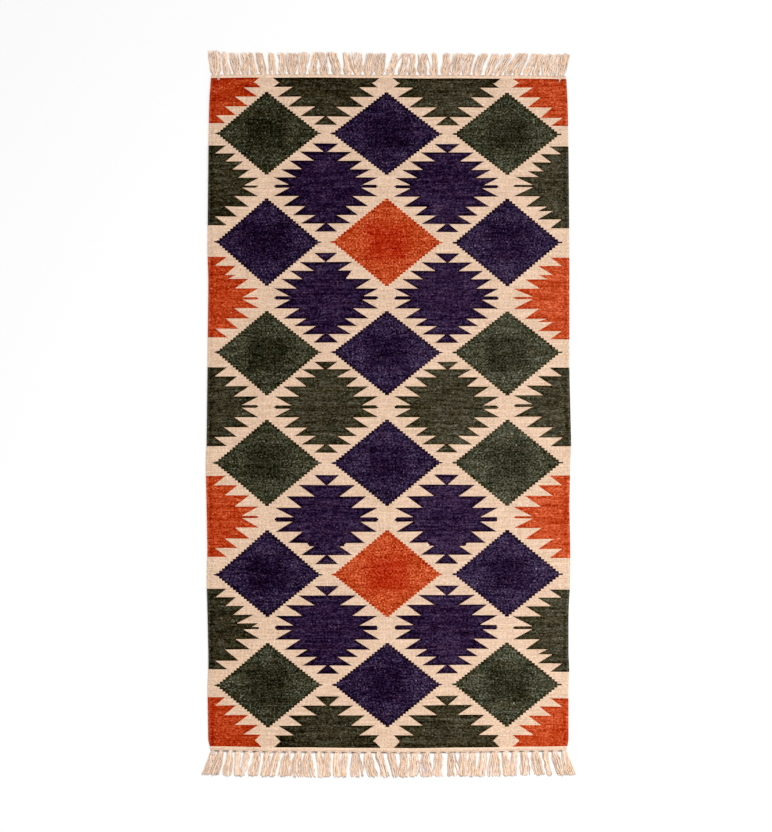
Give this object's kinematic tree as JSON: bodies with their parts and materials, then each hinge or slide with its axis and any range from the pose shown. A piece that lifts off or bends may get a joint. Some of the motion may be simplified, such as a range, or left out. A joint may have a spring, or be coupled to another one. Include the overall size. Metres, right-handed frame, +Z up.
{
  "type": "dhurrie rug",
  "caption": "Flat-woven cotton rug with diamonds and stepped medallions, plain woven ends and a tassel fringe along both short edges.",
  "frame": {"origin": "on the underside, at the middle of the woven cloth", "axes": "+X across the rug, +Y along it towards the far end, +Z up out of the face"},
  "size_m": [0.828, 1.607, 0.004],
  "materials": {
    "woven_cotton": "flat weft-faced weave, matt, dyed green, purple and orange on undyed cream",
    "fringe_yarn": "undyed plied cotton yarn, matt"
  },
  "bodies": {
    "root": {"woven_field": "woven_cotton", "fringe_far": "fringe_yarn", "fringe_near": "fringe_yarn"}
  },
  "joints": []
}
